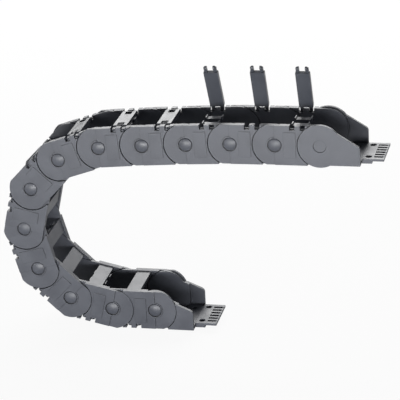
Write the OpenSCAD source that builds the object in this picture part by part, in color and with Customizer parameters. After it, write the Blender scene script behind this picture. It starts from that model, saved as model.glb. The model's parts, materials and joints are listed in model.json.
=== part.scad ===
// Cable drag chain: twelve cranked side-band links between two end brackets, with hinged lids,
// separators in every other link and a strain-relief comb at each end.
// Frame: +X along the straight strands towards the brackets, +Y towards the side that the open
// lids hang on, +Z up. The lower strand and the fixed bracket stand on Z = 0.

/* [Chain] */
// Distance between the pivots of one link
pitch = 56; // [54:0.5:58]
// Radius that the pivots lie on when every link is bent to its stop
bend_radius = 100; // [96:1:110]
// Free width between the side bands
inner_w = 60; // [50:5:100]
// Height of the side bands
band_h = 51; // [49:0.5:52]

/* [Side bands] */
// Thickness of one side band where both layers overlap
band_t = 8; // [7.5:0.25:9]
// Gap between layers of neighbouring links
layer_gap = 0.3; // [0.2:0.05:0.4]
// Radius of the outer disc round each pivot
disc_r = 27.5; // [27:0.25:28]
// Free gap round discs and tongues
arc_gap = 0.8; // [0.4:0.05:1]
// Depth of the step on the end half of each disc
step_d = 0.9; // [0.3:0.1:1.2]
// Height of the raised pad on each outer face
pad_h = 0.7; // [0.2:0.1:1]

/* [Pivots] */
// Radius of the pins on the tongues
pin_r = 8; // [7:0.25:8.5]
// Radial clearance of a pin in its bore
pin_gap = 0.08; // [0.05:0.01:0.1]
// Radius of the raised collar round each bore
collar_r = 10.3; // [9.5:0.1:11]

/* [Crossbars] */
// Width of the fixed crossbars and of the lids, along the chain
bar_w = 18; // [16:0.5:19]
// Thickness of the fixed crossbars
bar_t = 4.5; // [3.5:0.25:5]
// How far the fixed crossbars lie below the edge of the side bands
bar_recess = 1.5; // [1:0.25:2]
// Thickness of the lids
lid_t = 6.3; // [6:0.1:6.5]
// How far the fixed crossbars and the lids lie past mid-pitch, towards the tongues
bar_shift = 0.8; // [0:0.1:1.5]
// Opening angle of the lids that stand open
lid_open = 68; // [0:1:100]

/* [End pieces] */
// Distance from the pivot to the end of a bracket
bracket_l = 49.5; // [46:0.5:56]
// Length of a comb beyond its bracket
comb_l = 28; // [26:1:40]
// Diameter of the mounting holes in brackets and combs
hole_d = 6.5; // [5:0.1:7]

/* [Hidden] */
$fn = 96;
links = 12;
// Bend at each pivot as the chain stands, from the moving end's pivot 0 to the fixed end's pivot 12
rest_bend = [0, 0.5, 2, 1, 1, 14, 27.5, 31, 28, 31, 31, 13, 0];
open_lids = [1, 2, 3];
max_bend = 2 * asin(pitch / (2 * bend_radius));
half_h = band_h / 2;
bar_x = pitch / 2 + bar_shift;
// Where the outer layer ends beside the next disc, at the lid edge and at the crossbar edge
outer_end = pitch - 12.5;
inner_end = pitch - 15.5;

// Layers of a side band, as distances from the middle plane
y_in = inner_w / 2;
y_out = y_in + band_t;
layer_t = (band_t - layer_gap) / 2;
y_tongue = y_in + layer_t;
y_disc = y_out - layer_t;
tongue_r = half_h;
edge_round = 4;

// Stops: a lug inside each disc runs in a pocket on the neighbour's tongue
lug_r = [13, 19];
lug_h = 1.5;
lug_half = 18;
lug_slack = 0.3;

// Pin heads
dome_h = 1.8;
dome_base = y_out - 1.3;
mouth_r = pin_r + 1;
mouth_d = 2;
flat_pin_end = y_out - 1;

// Pad, lid notches and lid hinge, in a link's own frame: pivot of the disc at x = 0
pad_x = [11.3, 26.3];
pad_z = [-15.7, 16.9];
notch_x = 6.5;
notch_w = 6.4;
hinge_y = y_out - 3.7;
hinge_z = half_h - 4.7;
head_r = 2.6;
head_gap = 0.1;
notch_floor = hinge_z - 1;
neck_gap = 0.3;
head_x = [3.9, 8];
head_taper = 1.8;
head_tip = 0.9;
neck_w = 4.1;
lid_root = y_in - 2.5;
lid_top = half_h - 0.2;
lid_chamfer = 1.5;
pocket_w = 8.4;
pocket_y = [15, 25];
pocket_d = 4;

// Separators
separator_links = [1, 3, 5, 7, 9, 11];
separator_y = 11.3;
separator_t = 3;
separator_w = 14;
head_l = 10;
head_t = 2.2;
hook_x = [bar_w / 2 + 0.3, bar_w / 2 + 1.8];
hook_h = 2.1;
bar_top = -half_h + bar_recess + bar_t;

// Brackets and combs
floor_t = 5;
floor_x = 28;
corner_z = 1;
crank_x = 30.5;
bracket_hole = [38.5, 21];
// Top of a bracket's arms: where the slope to the end starts
fixed_shoulder = [20, 13];
moving_shoulder = [22, 16.5];
comb_w = inner_w - 1;
comb_t = 6.2;
comb_z = 1.1;
comb_gap = 0.8;
comb_block = 12.5;
comb_tine_t = 3;
comb_hole = [8, 21];
countersink = 1;
tines = 7;
slot_w = 4.4;
slot_mouth = 1.4;
slot_head = 2;
groove_h = 2.2;
groove_d = 5;
groove_side = 4;
tongue_gap = 0.1;

// Pose of link k: its angle, and the pivots worked out from the fixed end
function angle(k) = k == links ? 180 : angle(k + 1) - rest_bend[k];
function pivot(k) = k == links ? [pivot_x0, half_h]
    : pivot(k + 1) + pitch * [cos(angle(k + 1)), sin(angle(k + 1))];
// The fixed pivot's place puts the middle of the whole chain at X = 0
disc_corner = acos(half_h / disc_r);
function disc_reach(a) = let (f = abs(((a + 90) % 180) - 90))
    f > 90 - disc_corner ? disc_r * cos(f - 90 + disc_corner) : disc_r;
function run(k) = k == links ? 0 : run(k + 1) + pitch * cos(angle(k + 1));
left_end = min([for (k = [5:links]) run(k) - disc_reach(angle(k))]);
right_end = run(0) + bracket_l + comb_l;
pivot_x0 = -(left_end + right_end) / 2;

// A 2D outline in X and Z, made solid from y0 to y1 on the near side
module slab(y0, y1) {
    translate([0, -y0, 0]) rotate([90, 0, 0]) linear_extrude(y1 - y0) children();
}

module near_rod(x, r, y0, y1) {
    translate([x, -y0, 0]) rotate([90, 0, 0]) cylinder(r = r, h = y1 - y0);
}

module both_sides() {
    children();
    mirror([0, 1, 0]) children();
}

module box(low, high) {
    translate(low) cube(high - low);
}

module place(k) {
    translate([pivot(k)[0], 0, pivot(k)[1]]) rotate([0, -angle(k), 0]) children();
}

// Ring sector round the origin between two angles less than 180 degrees apart
module sector(radii, from, to) {
    reach = 2 * radii[1];
    intersection() {
        difference() {
            circle(r = radii[1]);
            circle(r = radii[0]);
        }
        polygon([[0, 0], reach * [cos(from), sin(from)],
            reach * [cos((from + to) / 2), sin((from + to) / 2)], reach * [cos(to), sin(to)]]);
    }
}

// Outer layer: a disc with flats at x = 0, hollowed round the next disc at x = pitch
module disc_layer() {
    difference() {
        union() {
            intersection() {
                circle(r = disc_r);
                square([2 * disc_r, band_h], center = true);
            }
            translate([0, -half_h]) square([outer_end, band_h]);
        }
        translate([pitch, 0]) circle(r = disc_r + arc_gap);
        translate([inner_end, -half_h - 1]) square([pitch, half_h]);
    }
}

// Inner layer: a round tongue at x = pitch, hollowed round the neighbour's tongue at x = 0
module tongue_layer() {
    difference() {
        union() {
            translate([pitch, 0]) circle(r = tongue_r);
            translate([0, -half_h]) square([pitch, band_h]);
        }
        circle(r = tongue_r + arc_gap);
        rotate(max_bend) translate([-pitch, -half_h - arc_gap]) square([pitch, band_h + 2 * arc_gap]);
    }
}

module lugs() {
    for (turn = [0, 180])
        slab(y_disc - lug_h, y_disc + 0.2) rotate(turn) sector(lug_r, -lug_half, lug_half);
}

module lug_pockets() {
    for (turn = [0, 180])
        slab(y_tongue - lug_h - layer_gap, y_tongue + 0.1)
            rotate(turn) sector(lug_r + [-0.3, 0.3],
                -lug_half - max_bend - lug_slack, lug_half + lug_slack);
}

// Bore in a disc, with the wider mouth that shows as a ring round the pin
module disc_bore() {
    near_rod(0, pin_r + pin_gap, y_disc - 1, y_out + 1);
    near_rod(0, mouth_r, y_out - mouth_d, y_out + 1);
}

module tongue_pin(domed) {
    if (domed) {
        dome_r = (pin_r * pin_r + dome_h * dome_h) / (2 * dome_h);
        near_rod(0, pin_r, y_tongue - 0.5, dome_base);
        intersection() {
            near_rod(0, pin_r, dome_base - 0.5, dome_base + 2 * dome_h);
            translate([0, dome_r - dome_h - dome_base, 0]) sphere(r = dome_r);
        }
    } else near_rod(0, pin_r, y_tongue - 0.5, flat_pin_end);
}

// Slots that take a lid's two prongs, each with a round seat for the prong's head
module lid_notches() {
    for (side = [-1, 1]) {
        box([bar_x + side * notch_x - notch_w / 2, -y_out - 1, notch_floor],
            [bar_x + side * notch_x + notch_w / 2, -y_in + 1, half_h + 1]);
        translate([bar_x + side * notch_x, -hinge_y, hinge_z]) rotate([0, 90, 0])
            cylinder(r = head_r + head_gap, h = notch_w, center = true);
    }
}

module side_plate(domed) {
    difference() {
        union() {
            slab(y_in, y_tongue) tongue_layer();
            slab(y_disc, y_out) disc_layer();
            slab(y_tongue - 0.1, y_disc + 0.1) intersection() {
                tongue_layer();
                disc_layer();
            }
            lugs();
            slab(y_out - 0.1, y_out + pad_h) translate([pad_x[0], pad_z[0]])
                square([pad_x[1] - pad_x[0], pad_z[1] - pad_z[0]]);
        }
        slab(y_out - step_d, y_out + 1) difference() {
            translate([-disc_r - 1, -half_h - 1]) square([disc_r + 1, band_h + 2]);
            circle(r = collar_r);
        }
        disc_bore();
        translate([pitch, 0, 0]) lug_pockets();
        lid_notches();
    }
    translate([pitch, 0, 0]) tongue_pin(domed);
}

// One link frame: two side plates moulded together with the fixed crossbar
module link(k) {
    color("#4d5159") place(k) {
        both_sides() side_plate(k > 1);
        box([bar_x - bar_w / 2, -y_in - 0.5, bar_top - bar_t], [bar_x + bar_w / 2, y_in + 0.5, bar_top]);
    }
}

// Half of a lid, from the middle to the near side: plate, two prongs and their heads
module lid_half() {
    under = lid_top - lid_t;
    difference() {
        translate([-bar_w / 2, 0, 0]) rotate([90, 0, 90]) linear_extrude(bar_w)
            polygon([[0.5, under], [0.5, lid_top], [-lid_root + lid_chamfer, lid_top],
                [-lid_root, lid_top - lid_chamfer], [-lid_root, under]]);
        translate([-pocket_w / 2, 0, 0]) rotate([90, 0, 90]) linear_extrude(pocket_w)
            polygon([[-pocket_y[0], lid_top + 0.1], [-pocket_y[1], lid_top + 0.1],
                [-pocket_y[1], lid_top - pocket_d]]);
    }
    for (side = [-1, 1]) {
        x0 = side > 0 ? head_x[0] : -head_x[0] - neck_w;
        translate([x0, 0, 0]) rotate([90, 0, 90]) linear_extrude(neck_w)
            polygon([[-lid_root + 1, notch_floor + neck_gap], [-lid_root + 1, lid_top - lid_chamfer],
                [-hinge_y, hinge_z + head_r], [-hinge_y, notch_floor + neck_gap]]);
        // The head tapers to its end, clear of the next link's disc
        translate([side * head_x[0], -hinge_y, hinge_z]) rotate([0, side * 90, 0]) {
            cylinder(r = head_r, h = head_x[1] - head_x[0] - head_taper);
            translate([0, 0, head_x[1] - head_x[0] - head_taper])
                cylinder(r1 = head_r, r2 = head_tip, h = head_taper);
        }
    }
}

module lid(k) {
    open = len(search(k, open_lids)) > 0 ? lid_open : 0;
    color("#565a62") place(k) translate([bar_x, hinge_y, hinge_z]) rotate([-open, 0, 0])
        translate([0, -hinge_y, -hinge_z]) both_sides() lid_half();
}

// Separator: a web with a flat head at each end, and hooks that clip beside both crossbars
module separator(k, side) {
    high = lid_top - lid_t - layer_gap;
    low = bar_top + layer_gap;
    color("#53575f") place(k) translate([bar_x, side * separator_y, 0]) {
        box([-separator_w / 2, -separator_t / 2, low], [separator_w / 2, separator_t / 2, high]);
        for (z = [low, high - head_t])
            box([-hook_x[1], -head_l / 2, z], [hook_x[1], head_l / 2, z + head_t]);
        for (x = [-hook_x[1], hook_x[0]]) {
            box([x, -head_l / 2, high - 0.1], [x + hook_x[1] - hook_x[0], head_l / 2, high + hook_h]);
            box([x, -head_l / 2, low - hook_h], [x + hook_x[1] - hook_x[0], head_l / 2, low + 0.1]);
        }
    }
}

// Outline of a bracket arm beyond x0, sloping down to its rounded end corner
module arm(x0, shoulder) {
    polygon([[x0, -half_h], [bracket_l, -half_h], [bracket_l, corner_z - edge_round],
        [bracket_l - 0.3 * edge_round, corner_z - 0.25 * edge_round],
        [bracket_l - edge_round, corner_z + 0.25 * edge_round], shoulder, [x0, shoulder[1]]]);
}

// Floor between the arms, with two mounting holes and the groove that holds the comb
module bracket_floor(x0, y) {
    difference() {
        box([x0, -y, -half_h], [bracket_l, y, -half_h + floor_t]);
        for (side = [-1, 1])
            translate([bracket_hole[0], side * bracket_hole[1], -half_h - 1])
                cylinder(d = hole_d, h = floor_t + 2);
        box([bracket_l - groove_d, groove_side - comb_w / 2, -half_h + (floor_t - groove_h) / 2],
            [bracket_l + 1, comb_w / 2 - groove_side, -half_h + (floor_t + groove_h) / 2]);
    }
}

// Fixed bracket: tongues with pins inside the last link's discs, arms cranked out to the full width
module bracket_fixed() {
    color("#4d5159") translate([pivot_x0, 0, half_h]) {
        both_sides() {
            difference() {
                slab(y_in, y_tongue) {
                    circle(r = tongue_r);
                    intersection() {
                        arm(0, fixed_shoulder);
                        translate([0, -half_h]) square([crank_x, band_h]);
                    }
                }
                rotate([0, 180, 0]) lug_pockets();
            }
            slab(y_tongue - 0.1, y_out) difference() {
                arm(16, fixed_shoulder);
                circle(r = disc_r + arc_gap);
            }
            tongue_pin(true);
        }
        bracket_floor(floor_x, y_out - 0.5);
    }
}

// Moving bracket: full discs outside the first link's tongues, and arms
module bracket_moving() {
    color("#565a62") translate([pivot(0)[0], 0, pivot(0)[1]]) {
        both_sides() {
            difference() {
                slab(y_disc, y_out) {
                    circle(r = disc_r);
                    difference() {
                        arm(0, moving_shoulder);
                        translate([0, -half_h]) square([bracket_l + 1, 1]);
                    }
                }
                near_rod(0, pin_r + pin_gap, y_disc - 1, y_out + 1);
            }
            lugs();
        }
        translate([0, 0, 1]) bracket_floor(floor_x, y_disc + 0.5);
    }
}

// Strain-relief comb beyond a bracket's end: a block with two screw holes, a tongue that sits in the
// bracket's groove, and T-ended tines. The origin is the bracket's end, level with its underside.
module comb(x, z) {
    step = comb_w / tines;
    top = comb_z + comb_t;
    color("#565a62") translate([x, 0, z]) {
        difference() {
            union() {
                box([comb_gap, -comb_w / 2, comb_z], [comb_block + comb_gap, comb_w / 2, top]);
                box([comb_block, -comb_w / 2, top - comb_tine_t], [comb_l, comb_w / 2, top]);
                box([tongue_gap - groove_d, groove_side + tongue_gap - comb_w / 2,
                    (floor_t - groove_h) / 2 + tongue_gap],
                    [comb_gap + 1, comb_w / 2 - groove_side - tongue_gap, (floor_t + groove_h) / 2 - tongue_gap]);
            }
            for (side = [-1, 1]) translate([comb_hole[0], side * comb_hole[1], 0]) {
                cylinder(d = hole_d, h = top + 1);
                translate([0, 0, top - countersink])
                    cylinder(d1 = hole_d, d2 = hole_d + 3 * countersink, h = 1.5 * countersink);
            }
            for (i = [1:tines - 1]) {
                y = -comb_w / 2 + i * step;
                box([comb_block + comb_gap + 1.5, y - slot_w / 2, 0],
                    [comb_l - slot_head, y + slot_w / 2, top + 1]);
                box([comb_l - slot_head - 1, y - slot_mouth / 2, 0], [comb_l + 1, y + slot_mouth / 2, top + 1]);
            }
        }
    }
}

bracket_fixed();
comb(pivot_x0 + bracket_l, 0);  // comb_fixed
bracket_moving();
comb(pivot(0)[0] + bracket_l, pivot(0)[1] - half_h + 1);  // comb_moving
for (k = [1:links]) {
    tag = str(k < 10 ? "0" : "", k);
    link(k);
    lid(k);
}
for (k = separator_links) {
    tag = str(k < 10 ? "0" : "", k);
    separator(k, -1);
    separator(k, 1);
}
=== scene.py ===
import json
from math import cos, radians, sin

import bmesh
import bpy
from mathutils import Matrix, Vector


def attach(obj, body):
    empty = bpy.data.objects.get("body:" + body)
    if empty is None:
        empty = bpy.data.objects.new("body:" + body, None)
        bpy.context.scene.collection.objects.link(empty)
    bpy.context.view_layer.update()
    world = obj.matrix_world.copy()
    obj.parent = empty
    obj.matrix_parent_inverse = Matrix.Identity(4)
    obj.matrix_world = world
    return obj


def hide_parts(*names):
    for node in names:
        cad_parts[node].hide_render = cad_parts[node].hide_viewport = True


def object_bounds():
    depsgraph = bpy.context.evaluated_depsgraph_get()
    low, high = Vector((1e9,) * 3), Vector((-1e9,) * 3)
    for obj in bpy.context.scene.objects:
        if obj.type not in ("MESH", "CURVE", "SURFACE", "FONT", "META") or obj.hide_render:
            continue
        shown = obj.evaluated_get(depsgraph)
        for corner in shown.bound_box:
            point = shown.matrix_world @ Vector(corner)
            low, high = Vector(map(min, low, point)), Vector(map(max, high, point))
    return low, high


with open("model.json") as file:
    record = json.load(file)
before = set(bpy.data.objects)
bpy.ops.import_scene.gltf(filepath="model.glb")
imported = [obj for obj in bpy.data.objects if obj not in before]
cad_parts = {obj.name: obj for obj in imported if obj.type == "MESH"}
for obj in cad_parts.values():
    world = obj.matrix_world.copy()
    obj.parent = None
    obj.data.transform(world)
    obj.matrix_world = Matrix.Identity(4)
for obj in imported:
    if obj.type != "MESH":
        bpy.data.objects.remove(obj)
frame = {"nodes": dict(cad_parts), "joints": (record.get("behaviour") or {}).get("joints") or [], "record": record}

cad_box = [list(corner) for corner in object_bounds()]
scene = bpy.context.scene
nodes = frame["nodes"]
body_of_node = {node: body for body, members in frame["record"]["behaviour"]["bodies"].items()
                for node in members}


# Camera: a long lens a little to the right of square-on and about twenty degrees above the chain,
# held almost level. It stands far off, so the two straight strands stay parallel.
view_turn = radians(13.1)
view_rise = radians(21.22)
view_roll = radians(-2.85)
view_distance = 2.933
moving_pivot = Vector(next(j["pos_m"] for j in frame["joints"] if j["name"] == "pivot_00"))
view_target = moving_pivot + Vector((-0.1615, 0.0, -0.0903))
sensor = 36.0
lens = 209.2

away = Vector((sin(view_turn) * cos(view_rise), -cos(view_turn) * cos(view_rise), sin(view_rise)))
level = Vector((cos(view_turn), sin(view_turn), 0.0))
upright = level.cross(-away)
side = cos(view_roll) * level + sin(view_roll) * upright
top = -sin(view_roll) * level + cos(view_roll) * upright
camera_data = bpy.data.cameras.new("camera")
camera_data.lens = lens
camera_data.sensor_width = sensor
camera_data.clip_end = 20.0
camera = bpy.data.objects.new("camera", camera_data)
camera.matrix_world = Matrix.Translation(view_target + view_distance * away) @ Matrix(
    (side, top, away)).transposed().to_4x4()
scene.collection.objects.link(camera)
scene.camera = camera


def colour(code):
    """Linear colour from an sRGB hex code such as 4d5159."""
    parts = [int(code[i:i + 2], 16) / 255 for i in (0, 2, 4)]
    return [p / 12.92 if p <= 0.04045 else ((p + 0.055) / 1.055) ** 2.4 for p in parts] + [1.0]


def add_node(tree, kind, settings=None, inputs=None, links=None):
    """Adds one node, sets its properties and sockets, and links other nodes' outputs to its inputs."""
    item = tree.nodes.new(kind)
    for name, value in (settings or {}).items():
        setattr(item, name, value)
    for name, value in (inputs or {}).items():
        item.inputs[name].default_value = value
    for name, output in (links or {}).items():
        tree.links.new(output, item.inputs[name])
    return item


# Link frames: each is one moulding of glass-filled polyamide, two cranked side plates joined by a
# fixed crossbar. Its discs turn on the pins of the next link's tongues.
def moulded_polyamide(name, base, speckle, gloss):
    """Injection-moulded glass-filled polyamide: a dark satin skin with faint fibre mottling, and
    painted shade that darkens it in the creases, found by an ambient-occlusion test."""
    material = bpy.data.materials.new(name)
    material.use_nodes = True
    tree = material.node_tree
    tree.nodes.clear()
    flow_scale, grain_scale = 45.0, 900.0
    # Reach and near-black colour of the painted shade laid into creases and round the foot of steps
    painted_shade_reach = 0.0014
    painted_shade_colour = "0b0c0f"
    gloss_spread = 0.06
    bump_height = 0.0002
    place = add_node(tree, "ShaderNodeTexCoord").outputs["Object"]
    flow = add_node(tree, "ShaderNodeTexNoise", inputs={"Scale": flow_scale, "Detail": 3.0, "Roughness": 0.55},
                    links={"Vector": place}).outputs["Fac"]
    grain = add_node(tree, "ShaderNodeTexNoise", inputs={"Scale": grain_scale, "Detail": 2.0, "Roughness": 0.6},
                     links={"Vector": place}).outputs["Fac"]
    mottle = add_node(tree, "ShaderNodeMath", {"operation": "MULTIPLY_ADD"}, {1: 0.45},
                      {0: grain, 2: flow}).outputs[0]
    skin = add_node(tree, "ShaderNodeMix", {"data_type": "RGBA"}, links={"Factor": mottle})
    skin.inputs[6].default_value = colour(base)
    skin.inputs[7].default_value = colour(speckle)
    # Painted shade: the ambient-occlusion test darkens the skin towards the near-black colour in creases
    crease = add_node(tree, "ShaderNodeAmbientOcclusion", {"samples": 12},
                      {"Distance": painted_shade_reach}).outputs["AO"]
    painted_shade_factor = add_node(tree, "ShaderNodeMapRange",
                     inputs={"From Min": 0.45, "From Max": 0.93, "To Min": 0.1, "To Max": 1.0},
                     links={"Value": crease}).outputs["Result"]
    painted_shade_mix = add_node(tree, "ShaderNodeMix", {"data_type": "RGBA"}, links={"Factor": painted_shade_factor})
    painted_shade_mix.inputs[6].default_value = colour(painted_shade_colour)
    tree.links.new(skin.outputs[2], painted_shade_mix.inputs[7])
    satin = add_node(tree, "ShaderNodeMapRange",
                     inputs={"From Min": 0.3, "From Max": 0.75, "To Min": gloss - gloss_spread,
                             "To Max": gloss + gloss_spread},
                     links={"Value": flow}).outputs["Result"]
    bump = add_node(tree, "ShaderNodeBump", inputs={"Strength": 0.12, "Distance": bump_height},
                    links={"Height": grain}).outputs["Normal"]
    shader = add_node(tree, "ShaderNodeBsdfPrincipled", inputs={"IOR": 1.53},
                      links={"Base Color": painted_shade_mix.outputs[2], "Roughness": satin, "Normal": bump})
    add_node(tree, "ShaderNodeOutputMaterial", links={"Surface": shader.outputs["BSDF"]})
    return material


def eased(node, edge, material):
    """A copy of a CAD node whose sharp outer edges are rounded by edge metres, with smooth round faces."""
    same_point = 2e-6
    flat_within = radians(0.6)
    sharp = radians(30.0)
    corner = radians(50.0)
    mesh = nodes[node].data.copy()
    build = bmesh.new()
    build.from_mesh(mesh)
    bmesh.ops.remove_doubles(build, verts=build.verts, dist=same_point)
    bmesh.ops.dissolve_limit(build, angle_limit=flat_within, verts=build.verts, edges=build.edges)
    chosen = []
    for line in build.edges:
        if len(line.link_faces) == 2 and line.calc_face_angle_signed(0.0) > corner:
            chosen.append(line)
    bmesh.ops.bevel(build, geom=chosen, offset=edge, offset_type="OFFSET", segments=2, profile=0.6,
                    affect="EDGES", clamp_overlap=False)
    for face in build.faces:
        face.smooth = True
    for line in build.edges:
        line.smooth = len(line.link_faces) == 2 and line.calc_face_angle(0.0) < sharp
    build.to_mesh(mesh)
    build.free()
    mesh.materials.clear()
    mesh.materials.append(material)
    piece = bpy.data.objects.new(node + "_moulding", mesh)
    scene.collection.objects.link(piece)
    # Normals lean to the large faces, so that flat faces look flat up to their rounded edges
    weigh = piece.modifiers.new("face_weighted_normals", "WEIGHTED_NORMAL")
    weigh.keep_sharp = True
    weigh.weight = 100
    ready = piece.evaluated_get(bpy.context.evaluated_depsgraph_get())
    finished = bpy.data.meshes.new_from_object(ready)
    piece.modifiers.clear()
    piece.data = finished
    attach(piece, body_of_node[node])
    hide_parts(node)
    return piece


edge_round = 0.0003
link_plastic = moulded_polyamide("moulded_polyamide_link", "3c3e45", "4c4f57", 0.42)
for name in sorted(n for n in nodes if n.startswith("link_")):
    eased(name, edge_round, link_plastic)


# Lids: each is one moulding of the same polyamide, a little glossier, that closes a link's open side.
# Its four prongs end in round heads, which sit in notches in the side plates. Three of them stand open.
lid_plastic = moulded_polyamide("moulded_polyamide_lid", "37393f", "464950", 0.36)
for name in sorted(n for n in nodes if n.startswith("lid_")):
    eased(name, edge_round, lid_plastic)


# Separators: thin upright walls of the same polyamide that part the cables, two in every other link.
# Their heads bear on the crossbar and the lid, and small hooks hold them there.
separator_plastic = moulded_polyamide("moulded_polyamide_separator", "3a3c43", "4a4d55", 0.38)
for name in sorted(n for n in nodes if n.startswith("separator_")):
    eased(name, edge_round, separator_plastic)


# End brackets and combs: polyamide mouldings that bolt down at both ends of the chain. The comb's
# tongue sits in the bracket's groove, and its T-ended tines take the ties that hold the cables.
bracket_plastic = moulded_polyamide("moulded_polyamide_bracket", "3d3f46", "4d5058", 0.42)
for name in ("bracket_fixed", "bracket_moving"):
    eased(name, edge_round, bracket_plastic)
comb_plastic = moulded_polyamide("moulded_polyamide_comb", "3d3f46", "4d5058", 0.42)
for name in ("comb_fixed", "comb_moving"):
    eased(name, edge_round, comb_plastic)


# Stage: a white floor that keeps a faint shadow, a white surround, and soft studio light: a wide
# panel behind and above that lights every upward face, and panels in front and at the left for
# the side plates. The floor lies just under the lowest point of the chain.
def panel(name, place, aim, size, power):
    data = bpy.data.lights.new(name, "AREA")
    data.shape = "RECTANGLE"
    data.size, data.size_y = size
    data.energy = power
    lamp = bpy.data.objects.new(name, data)
    lamp.location = place
    lamp.rotation_euler = (Vector(aim) - Vector(place)).to_track_quat("-Z", "Y").to_euler()
    lamp.visible_camera = False
    scene.collection.objects.link(lamp)


floor_material = bpy.data.materials.new("white_floor")
floor_material.use_nodes = True
tree = floor_material.node_tree
tree.nodes.clear()
seen = add_node(tree, "ShaderNodeLightPath").outputs
paper = add_node(tree, "ShaderNodeBsdfDiffuse", inputs={"Color": (0.8, 0.8, 0.8, 1.0)}).outputs[0]
glow = add_node(tree, "ShaderNodeEmission", inputs={"Strength": 1.0}).outputs[0]
glow_share = 0.93
share = add_node(tree, "ShaderNodeMath", {"operation": "MULTIPLY"}, {1: glow_share},
                 {0: seen["Is Camera Ray"]}).outputs[0]
mixed = add_node(tree, "ShaderNodeMixShader", links={0: share, 1: paper, 2: glow}).outputs[0]
add_node(tree, "ShaderNodeOutputMaterial", links={"Surface": mixed})
floor_mesh = bpy.data.meshes.new("floor")
floor_reach = 12.0
floor_gap = 0.0002
floor_mesh.from_pydata([(-floor_reach, -floor_reach, 0), (floor_reach, -floor_reach, 0),
                        (floor_reach, floor_reach, 0), (-floor_reach, floor_reach, 0)], [], [(0, 1, 2, 3)])
floor = bpy.data.objects.new("floor", floor_mesh)
floor_mesh.materials.append(floor_material)
floor.location.z = cad_box[0][2] - floor_gap
scene.collection.objects.link(floor)

world = bpy.data.worlds.new("surround")
scene.world = world
world.use_nodes = True
tree = world.node_tree
tree.nodes.clear()
seen = add_node(tree, "ShaderNodeLightPath").outputs
ambient_strength = 0.10
ambient = add_node(tree, "ShaderNodeBackground",
                   inputs={"Color": (1, 1, 1, 1), "Strength": ambient_strength}).outputs[0]
white = add_node(tree, "ShaderNodeBackground", inputs={"Color": (1, 1, 1, 1), "Strength": 1.0}).outputs[0]
mixed = add_node(tree, "ShaderNodeMixShader", links={0: seen["Is Camera Ray"], 1: ambient, 2: white}).outputs[0]
add_node(tree, "ShaderNodeOutputWorld", links={"Surface": mixed})

panel("back_panel", (-0.3, 2.2, 1.5), (0, 0, 0.15), (3.0, 1.8), 80)
panel("low_front_panel", (0.2, -2.2, 0.1), (0, 0, 0.08), (2.4, 0.3), 72)
panel("left_panel", (-2.0, -1.6, 0.5), (0, 0, 0.15), (0.8, 0.8), 12)

scene.view_settings.view_transform = "Standard"
